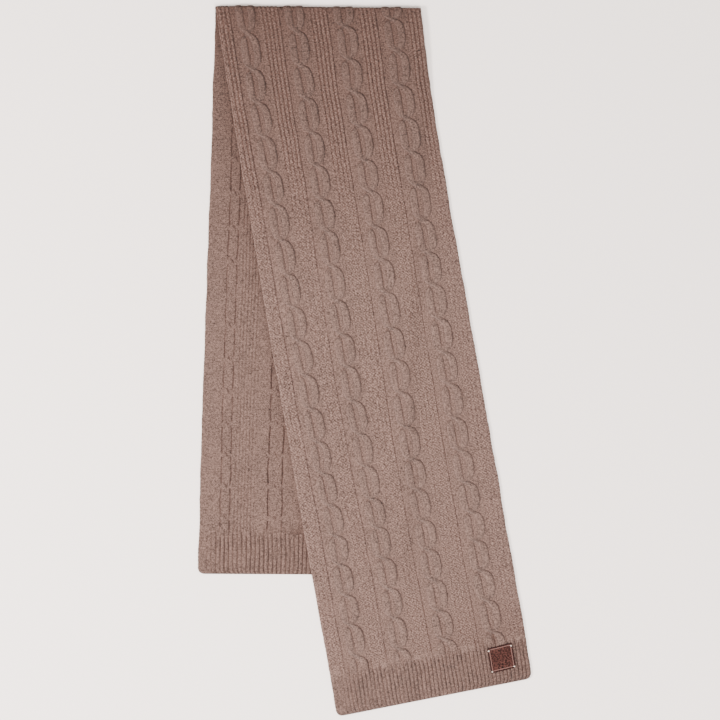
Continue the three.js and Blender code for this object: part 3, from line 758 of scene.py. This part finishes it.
def knitMaterial(name, colour):
    material, tree, shader = shaderMaterial(name, Roughness=0.93, **{"Sheen Weight": 0.12, "Sheen Roughness": 0.5, "Specular IOR Level": 0.12})
    shader.inputs["Sheen Tint"].default_value = (0.95, 0.82, 0.78, 1)
    kind = put(tree, "ShaderNodeAttribute", attribute_name="stitchKind").outputs["Fac"]
    paintedShade = put(tree, "ShaderNodeAttribute", attribute_name="paintedShade").outputs["Fac"]
    stitches = put(tree, "ShaderNodeGroup", node_tree=knitStitches)
    tree.links.new(kind, stitches.inputs["Kind"])
    heather = put(tree, "ShaderNodeGroup", node_tree=yarnHeather)
    heather.inputs["Colour"].default_value = colour
    heather.inputs["Contrast"].default_value = knitLook["contrast"]
    tree.links.new(stitches.outputs["Uneven"], heather.inputs["Uneven"])
    # painted shade: the per-point attribute and the low places between stitch legs pull the yarn's colour towards the
    # shade colour
    deep = sums(tree, "MULTIPLY", paintedShade, knitLook["paintedShadeStrength"])
    deep = sums(tree, "ADD", deep, sums(tree, "MULTIPLY", stitches.outputs["GapShade"], knitLook["stitchGapShade"]))
    deep = sums(tree, "MINIMUM", deep, 1.0)
    shaded = mixed(tree, deep, (1, 1, 1, 1), knitLook["shade"])
    toned = mixed(tree, 1.0, heather.outputs["Colour"], shaded, "MULTIPLY")
    tree.links.new(toned, shader.inputs["Base Color"])
    fuzz = put(tree, "ShaderNodeBump", {"Strength": 0.6, "Distance": knitLook["fibreHeight"], "Height": heather.outputs["Fibre"]})
    relief = put(tree, "ShaderNodeBump", {"Strength": 0.8, "Distance": knitLook["stitchHeight"], "Height": stitches.outputs["Height"], "Normal": fuzz.outputs[0]})
    tree.links.new(relief.outputs[0], shader.inputs["Normal"])
    return material


knitRight = knitMaterial("knit right side", knitLook["colour"])
knitWrong = knitMaterial("knit wrong side", knitLook["wrongColour"])


# ---- leather patch and its studs ----
def selectFaces(piece, wanted):
    bpy.ops.object.mode_set(mode="OBJECT")
    for polygon in piece.data.polygons:
        polygon.select = bool(wanted(polygon))
    bpy.ops.object.mode_set(mode="EDIT")


def leatherPatch():
    bpy.ops.object.select_all(action="DESELECT")
    bpy.ops.mesh.primitive_cube_add(size=1)
    piece = bpy.context.object
    piece.name = "leather_patch_cloth"
    piece.scale = (patch["width"] * mm, patch["height"] * mm, patch["thick"] * mm)
    bpy.ops.object.transform_apply(location=False, rotation=False, scale=True)
    bpy.ops.object.mode_set(mode="EDIT")
    bpy.ops.mesh.select_mode(type="EDGE")
    bpy.ops.mesh.select_all(action="DESELECT")
    bpy.ops.object.mode_set(mode="OBJECT")
    for edge in piece.data.edges:
        a, b = (piece.data.vertices[i].co for i in edge.vertices)
        edge.select = abs(a.z - b.z) > 0.5 * patch["thick"] * mm
    bpy.ops.object.mode_set(mode="EDIT")
    bpy.ops.mesh.bevel(offset=patch["corner"] * mm, segments=6, affect="EDGES")
    bpy.ops.mesh.select_mode(type="FACE")
    top = patch["thick"] / 2 * mm - 1e-5
    selectFaces(piece, lambda polygon: polygon.normal.z > 0.9 and polygon.center.z > top)
    # the cut edge rounds over, then a pressed line runs just inside it
    bpy.ops.mesh.inset(thickness=0.3 * mm, depth=0.28 * mm)
    bpy.ops.mesh.inset(thickness=1.0 * mm, depth=0)
    bpy.ops.mesh.inset(thickness=0.15 * mm, depth=-0.3 * mm)
    bpy.ops.mesh.inset(thickness=0.2 * mm, depth=0)
    bpy.ops.mesh.inset(thickness=0.15 * mm, depth=0.3 * mm)
    bpy.ops.object.mode_set(mode="OBJECT")
    for vertex in piece.data.vertices:
        if vertex.co.z > 0:
            vertex.co.z -= 0.28 * mm
        vertex.co.x += patch["lean"] * vertex.co.y
    bpy.ops.object.shade_smooth_by_angle(angle=math.radians(35))
    return piece


def leatherMaterial():
    material, tree, shader = shaderMaterial("pressed leather", **{"Specular IOR Level": 0.05})
    place = put(tree, "ShaderNodeTexCoord").outputs["Object"]
    cells = put(tree, "ShaderNodeTexVoronoi", {"Vector": place, "Scale": 1500.0, "Randomness": 0.9}, feature="DISTANCE_TO_EDGE").outputs[0]
    grain = between(tree, cells, 0.0, 0.18)
    mottle = put(tree, "ShaderNodeTexNoise", {"Vector": place, "Scale": 420.0, "Detail": 3.0, "Roughness": 0.7}).outputs[0]
    blotch = put(tree, "ShaderNodeTexNoise", {"Vector": place, "Scale": 90.0, "Detail": 2.0}).outputs[0]
    tone = mixed(tree, between(tree, mottle, 0.44, 0.58), (0.006, 0.0018, 0.0014, 1), (0.068, 0.025, 0.0195, 1))
    tone = mixed(tree, between(tree, blotch, 0.4, 0.6, 0.0, 0.35), tone, (0.024, 0.007, 0.0053, 1))
    # distance in from the cut edge, in the patch's own turned place
    middle = ((patch["x"] + shift[0]) * mm, (patch["y"] + shift[1]) * mm, 0)
    own = put(tree, "ShaderNodeMapping", {"Vector": place, "Location": middle, "Rotation": (0, 0, math.radians(patch["turn"]))}, vector_type="TEXTURE").outputs[0]
    apart = put(tree, "ShaderNodeSeparateXYZ", {0: own}).outputs
    upright = sums(tree, "MULTIPLY_ADD", apart[1], -patch["lean"], apart[0])
    fromSide = sums(tree, "SUBTRACT", patch["width"] / 2 * mm, sums(tree, "ABSOLUTE", upright))
    fromEnd = sums(tree, "SUBTRACT", patch["height"] / 2 * mm, sums(tree, "ABSOLUTE", apart[1]))
    inward = sums(tree, "MINIMUM", fromSide, fromEnd)
    wobble = sums(tree, "MULTIPLY_ADD", mottle, 0.8 * mm, -0.4 * mm)
    inward = sums(tree, "ADD", inward, wobble)
    border = between(tree, inward, 1.2 * mm, 1.8 * mm, 1.0, 0.0)
    crease = sums(tree, "SUBTRACT", 1.0, between(tree, sums(tree, "ABSOLUTE", sums(tree, "SUBTRACT", inward, 2.6 * mm)), 0.3 * mm, 0.75 * mm))
    tone = mixed(tree, crease, tone, (0.12, 0.062, 0.052, 1))
    tone = mixed(tree, border, tone, (0.016, 0.006, 0.005, 1))
    tree.links.new(tone, shader.inputs["Base Color"])
    tree.links.new(between(tree, mottle, 0.3, 0.7, 0.42, 0.6), shader.inputs["Roughness"])
    bump = put(tree, "ShaderNodeBump", {"Strength": 0.5, "Distance": 0.12 * mm, "Height": grain})
    tree.links.new(bump.outputs[0], shader.inputs["Normal"])
    return material


def placeOnPatch(piece, x, y, z):
    # from the patch's own middle to its turned place on the hem, left in the mesh
    turn = math.radians(patch["turn"])
    cx, cy = patch["x"] + shift[0], patch["y"] + shift[1]
    piece.rotation_euler = (0, 0, turn)
    piece.location = (
        (cx + x * math.cos(turn) - y * math.sin(turn)) * mm,
        (cy + x * math.sin(turn) + y * math.cos(turn)) * mm,
        z * mm,
    )
    bpy.ops.object.select_all(action="DESELECT")
    piece.select_set(True)
    bpy.context.view_layer.objects.active = piece
    bpy.ops.object.transform_apply(location=True, rotation=True, scale=True)


patchPiece = leatherPatch()
placeOnPatch(patchPiece, 0, 0, patch["seat"] + patch["thick"] / 2)
patchPiece.data.materials.clear()
patchPiece.data.materials.append(leatherMaterial())
print("patch made")

stud = {"radius": 1.5, "rise": 0.9, "insetSide": 1.8, "insetTop": 3.6, "insetBottom": 2.2}


def studMaterial():
    material, tree, shader = shaderMaterial("brushed pale gold", Metallic=1.0)
    place = put(tree, "ShaderNodeTexCoord").outputs["Object"]
    wearAndShadeNoise = put(tree, "ShaderNodeTexNoise", {"Vector": place, "Scale": 900.0, "Detail": 3.0}).outputs[0]
    tree.links.new(mixed(tree, wearAndShadeNoise, (0.22, 0.165, 0.14, 1), (0.38, 0.30, 0.26, 1)), shader.inputs["Base Color"])
    tree.links.new(between(tree, wearAndShadeNoise, 0.3, 0.7, 0.22, 0.4), shader.inputs["Roughness"])
    return material


def studPiece(number, sideX, sideY, metal):
    bpy.ops.object.select_all(action="DESELECT")
    bpy.ops.mesh.primitive_cylinder_add(vertices=24, radius=stud["radius"] * mm, depth=stud["rise"] * mm)
    piece = bpy.context.object
    piece.name = f"stud_{number}"
    bpy.ops.object.mode_set(mode="EDIT")
    selectFaces(piece, lambda polygon: polygon.normal.z > 0.9)
    for share, drop in ((0.16, 0.0), (0.22, 0.0), (0.3, 0.0)):
        bpy.ops.mesh.inset(thickness=stud["radius"] * share * mm)
    bpy.ops.object.mode_set(mode="OBJECT")
    for vertex in piece.data.vertices:
        away = min(math.hypot(vertex.co.x, vertex.co.y) / (stud["radius"] * mm), 1)
        if vertex.co.z > 0:
            vertex.co.z = (stud["rise"] * (0.32 + 0.68 * math.sqrt(1 - away**2)) - stud["rise"] / 2) * mm
    bpy.ops.object.shade_smooth_by_angle(angle=math.radians(50))
    y = sideY * (patch["height"] / 2 - stud["insetTop" if sideY > 0 else "insetBottom"])
    x = sideX * (patch["width"] / 2 - stud["insetSide"]) + patch["lean"] * y
    placeOnPatch(piece, x, y, patch["seat"] + patch["thick"] + 0.05 + stud["rise"] / 2)
    piece.data.materials.append(metal)
    return piece


studMetal = studMaterial()
studSides = [(-1, 1), (1, 1), (1, -1), (-1, -1)]
studs = [studPiece(number + 1, *sides, studMetal) for number, sides in enumerate(studSides)]
print("studs made")

# ---- what each piece stands for ----
standsFor = {
    "front_upper_third": ("front_panel", knitRight, "knit"),
    "front_middle_third": ("front_panel", knitRight, "knit"),
    "front_lower_third": ("front_panel", knitRight, "knit"),
    "front_hem": ("front_rib", knitRight, "knit"),
    "fold_cloth": ("fold", knitRight, "knit"),
    "back_cloth": ("back_panel", knitWrong, "knit_wrong_side"),
    "back_hem": ("back_rib", knitWrong, "knit_wrong_side"),
}
for name, (node, material, slotName) in standsFor.items():
    pieces[name].data.materials.append(material)
    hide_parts(node)
    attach(pieces[name], "root")
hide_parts("leather_patch")
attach(patchPiece, "root")
for number, piece in enumerate(studs):
    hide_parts(f"patch_corner_{number + 1}")
    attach(piece, "root")

# ---- floor, light and camera ----
studio = {
    "floor": (0.90, 0.80, 0.755, 1),
    "keyPower": 230.0,
    "fillPower": 178.0,
    "world": 1.45,
    "worldColour": (1.0, 0.985, 0.965, 1),
}
bpy.ops.object.select_all(action="DESELECT")
bpy.ops.mesh.primitive_plane_add(size=14, location=(0, 0, 0))
floor = bpy.context.object
floor.name = "floor"
floorMaterial, floorTree, floorShader = shaderMaterial("pale paper", Roughness=0.9, **{"Specular IOR Level": 0.1})
floorShader.inputs["Base Color"].default_value = studio["floor"]
floor.data.materials.append(floorMaterial)


def areaLight(name, place, aim, size, power, colour):
    lamp = bpy.data.lights.new(name, "AREA")
    lamp.shape = "DISK"
    lamp.size = size
    lamp.energy = power
    lamp.color = colour
    piece = bpy.data.objects.new(name, lamp)
    bpy.context.scene.collection.objects.link(piece)
    piece.location = place
    away = [p - a for p, a in zip(place, aim)]
    piece.rotation_euler = (
        math.atan2(math.hypot(away[0], away[1]), away[2]),
        0,
        math.atan2(away[0], -away[1]),
    )
    return piece


areaLight("key", (-2.6, -0.5, 1.7), (0, -0.1, 0), 0.8, studio["keyPower"], (1.0, 0.97, 0.94))
areaLight("fill", (0.3, -1.75, 2.7), (0, 0, 0), 2.4, studio["fillPower"], (1.0, 0.99, 0.98))

world = bpy.context.scene.world or bpy.data.worlds.new("World")
bpy.context.scene.world = world
world.use_nodes = True
background = world.node_tree.nodes.get("Background") or world.node_tree.nodes.new("ShaderNodeBackground")
background.inputs["Color"].default_value = studio["worldColour"]
background.inputs["Strength"].default_value = studio["world"]

view = {"middleX": -7.7, "middleY": 2.4, "across": 1025.3, "height": 4.2}
cameraData = bpy.data.cameras.new("camera")
cameraData.sensor_width = 36
cameraData.lens = 36 * (view["height"] - 0.004) / (view["across"] * mm)
camera = bpy.data.objects.new("camera", cameraData)
bpy.context.scene.collection.objects.link(camera)
camera.location = ((view["middleX"] + shift[0]) * mm, (view["middleY"] + shift[1]) * mm, view["height"])
bpy.context.scene.camera = camera
print("floor, light and camera set")
